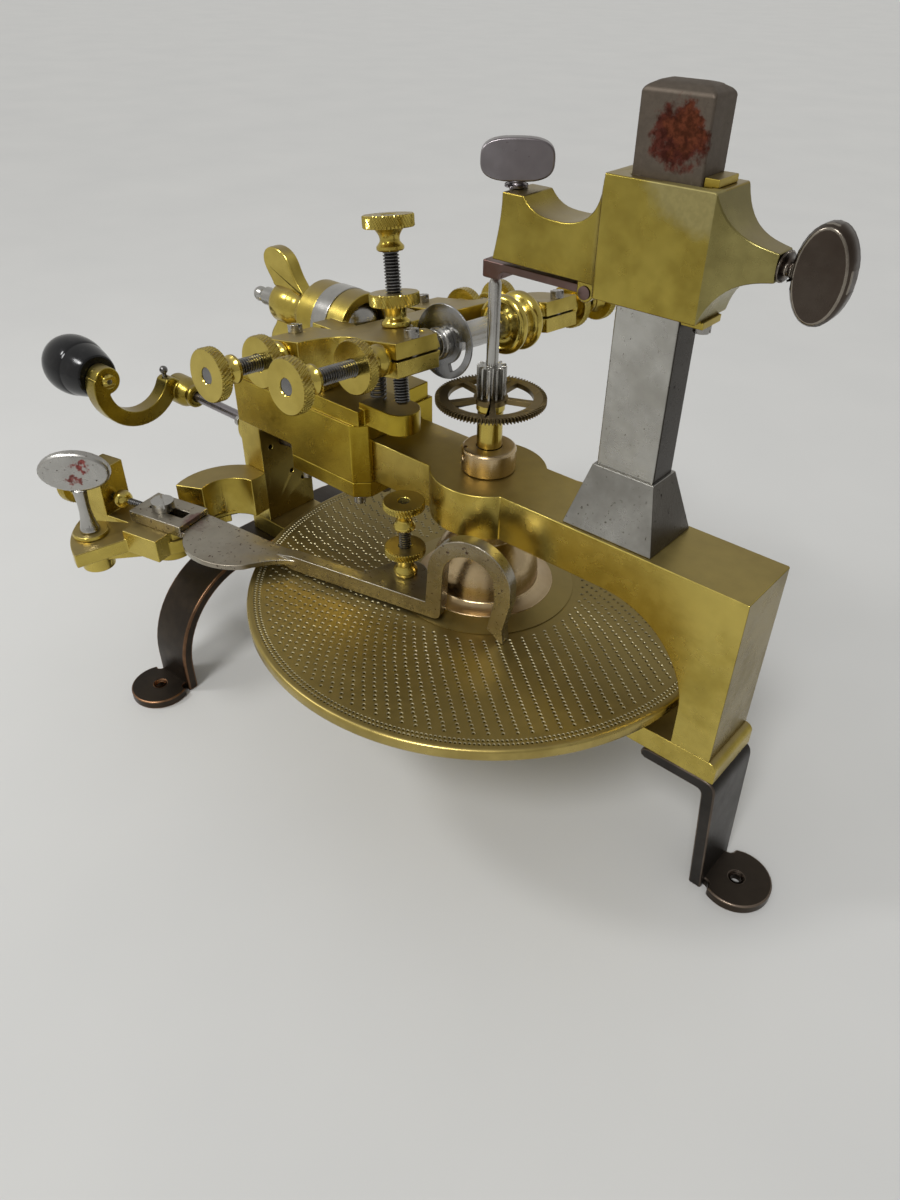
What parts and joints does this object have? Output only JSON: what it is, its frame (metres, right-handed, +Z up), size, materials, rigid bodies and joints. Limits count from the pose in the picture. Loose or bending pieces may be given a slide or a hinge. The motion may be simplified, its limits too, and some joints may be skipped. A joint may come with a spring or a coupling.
{
  "type": "wheel cutting engine",
  "caption": "Bench engine for cutting clock wheels: a drilled dividing plate under a brass bed, a steel column with overarm, and a crank-fed saddle that carries a hinged cutter frame.",
  "frame": {"origin": "on the floor under the dividing spindle's axis", "axes": "+X along the bed from the crank to the column, +Y across the bed to the back, +Z up along the dividing spindle"},
  "size_m": [0.3629, 0.193, 0.2511],
  "materials": {
    "aged_brass": "aged polished brass, olive gold with browned tops",
    "bronze": "polished red bronze",
    "foot_bronze": "dark bronze with worn copper edges",
    "brushed_steel": "bright turned steel with light spots",
    "column_steel": "grey filed steel, dark at the top",
    "dark_steel": "browned steel",
    "black_steel": "blackened steel",
    "rusty_steel": "rust brown steel",
    "ebonised_wood": "polished black turned wood"
  },
  "bodies": {
    "bed": {"frame": "aged_brass", "lower_bar": "aged_brass", "frame_screws": "brushed_steel", "right_foot": "dark_steel", "left_feet": "foot_bronze", "foot_pads": "foot_bronze", "column": "column_steel", "spindle_point": "brushed_steel", "point_lock_nut": "brushed_steel", "bearing_block": "aged_brass", "bracket_arm": "aged_brass", "thumbscrew_washer": "brushed_steel"},
    "overarm": {"overarm": "aged_brass", "overarm_gib": "aged_brass", "gib_screw": "brushed_steel", "finger_pin": "brushed_steel"},
    "overarm_clamp": {"overarm_clamp_screw": "dark_steel"},
    "finger": {"centre_finger": "rusty_steel"},
    "finger_screw": {"finger_thumbscrew": "brushed_steel"},
    "spindle": {"dividing_plate": "aged_brass", "plate_hub": "bronze", "spindle": "brushed_steel", "spindle_collar": "bronze", "work_holder": "aged_brass", "work_wheel": "aged_brass", "work_arbor": "brushed_steel"},
    "crank": {"crank_arm": "aged_brass", "crank_pins": "brushed_steel", "lead_screw": "black_steel"},
    "knob": {"crank_knob": "ebonised_wood"},
    "saddle": {"saddle": "aged_brass", "saddle_gib_plate": "aged_brass", "saddle_screws": "brushed_steel", "lead_nut": "bronze", "swivel_pedestal": "aged_brass", "swivel_ring": "aged_brass", "return_spring": "black_steel"},
    "swivel": {"swivel_head": "aged_brass", "swivel_shaft": "brushed_steel"},
    "wing_nut": {"wing_nut": "aged_brass"},
    "swing_frame": {"swing_frame": "aged_brass", "pivot_screws": "aged_brass", "pivot_lock_nuts": "aged_brass", "centre_screws": "aged_brass", "centre_lock_nuts": "aged_brass", "clamp_screws": "brushed_steel", "stop_lock_nut": "aged_brass"},
    "stop_screw": {"stop_screw": "aged_brass"},
    "cutter": {"cutter_spindle": "brushed_steel", "cutter": "brushed_steel", "cutter_collar": "aged_brass", "belt_pulley": "aged_brass"},
    "sector": {"sector_plate": "aged_brass", "index_foot_screw": "brushed_steel"},
    "sector_thumb": {"sector_thumbscrew": "brushed_steel"},
    "tangent": {"tangent_screw": "brushed_steel"},
    "index_foot": {"index_foot": "brushed_steel"},
    "index_arm": {"index_arm": "brushed_steel", "index_lock_nut": "aged_brass"},
    "index_screw": {"index_screw": "aged_brass"}
  },
  "joints": [
    {"name": "overarm_slide", "type": "slide", "parent": "bed", "child": "overarm", "axis": [0, 0, 1], "range_m": [0, 0.018]},
    {"name": "overarm_clamp_turn", "type": "hinge", "parent": "overarm", "child": "overarm_clamp", "pos_m": [0.0885, 0, 0.2143], "axis": [1, 0, 0], "range_deg": [-180, 180]},
    {"name": "finger_tip", "type": "hinge", "parent": "overarm", "child": "finger", "pos_m": [0.03655, 0, 0.1977], "axis": [0, 1, 0], "range_deg": [0, 2]},
    {"name": "finger_screw_turn", "type": "hinge", "parent": "overarm", "child": "finger_screw", "pos_m": [0.0064, 0, 0.22], "axis": [0, 0, 1], "range_deg": [-180, 180]},
    {"name": "spindle_spin", "type": "hinge", "parent": "bed", "child": "spindle", "pos_m": [0, 0, 0.1], "axis": [0, 0, 1], "continuous": true},
    {"name": "crank_turn", "type": "hinge", "parent": "bed", "child": "crank", "pos_m": [-0.186, 0, 0.09985], "axis": [1, 0, 0], "range_deg": [0, 5760]},
    {"name": "knob_spin", "type": "hinge", "parent": "crank", "child": "knob", "pos_m": [-0.2, -0.0379, 0.11705], "axis": [1, 0, 0], "continuous": true},
    {"name": "saddle_feed", "type": "slide", "parent": "bed", "child": "saddle", "axis": [1, 0, 0], "range_m": [-0.024, 0]},
    {"name": "swivel_tilt", "type": "hinge", "parent": "saddle", "child": "swivel", "pos_m": [-0.05498, 0, 0.16158], "axis": [1, 0, 0], "range_deg": [-8, 8]},
    {"name": "wing_nut_turn", "type": "hinge", "parent": "swivel", "child": "wing_nut", "pos_m": [-0.05498, 0, 0.16158], "axis": [1, 0, 0], "range_deg": [-180, 180]},
    {"name": "frame_lift", "type": "hinge", "parent": "swivel", "child": "swing_frame", "pos_m": [-0.05498, 0, 0.16158], "axis": [0, -0.9963, 0.0854], "range_deg": [0, 22]},
    {"name": "stop_screw_turn", "type": "hinge", "parent": "swing_frame", "child": "stop_screw", "pos_m": [-0.03483, -0.0082, 0.16549], "axis": [-0.1564, 0.0844, 0.9841], "range_deg": [-180, 180]},
    {"name": "cutter_spin", "type": "hinge", "parent": "swing_frame", "child": "cutter", "pos_m": [-0.0214, 0.00045, 0.16688], "axis": [0, 0.9963, -0.0854], "continuous": true},
    {"name": "sector_turn", "type": "hinge", "parent": "bed", "child": "sector", "pos_m": [-0.12289, -0.05872, 0.075], "axis": [0, 0, 1], "range_deg": [-6, 0]},
    {"name": "sector_thumb_turn", "type": "hinge", "parent": "bed", "child": "sector_thumb", "pos_m": [-0.14205, -0.0826, 0.1], "axis": [0, 0, 1], "range_deg": [-180, 180]},
    {"name": "tangent_turn", "type": "hinge", "parent": "sector", "child": "tangent", "pos_m": [-0.14931, -0.06477, 0.0844], "axis": [0.9748, 0.2233, 0], "range_deg": [-180, 900]},
    {"name": "index_feed", "type": "slide", "parent": "sector", "child": "index_foot", "axis": [0.9748, 0.2233, 0], "range_m": [-0.0025, 0.0005]},
    {"name": "index_lift", "type": "hinge", "parent": "index_foot", "child": "index_arm", "pos_m": [-0.107, -0.05508, 0.0825], "axis": [0.2233, -0.9748, 0], "range_deg": [0, 4]},
    {"name": "index_screw_turn", "type": "hinge", "parent": "index_arm", "child": "index_screw", "pos_m": [-0.01798, -0.02453, 0.1], "axis": [0, 0, 1], "range_deg": [-180, 180]}
  ],
  "couplings": [
    {"joint": "crank_turn", "follows": "saddle_feed", "rad_per_m": -4188.8},
    {"joint": "tangent_turn", "follows": "index_feed", "rad_per_m": -6283.2}
  ]
}
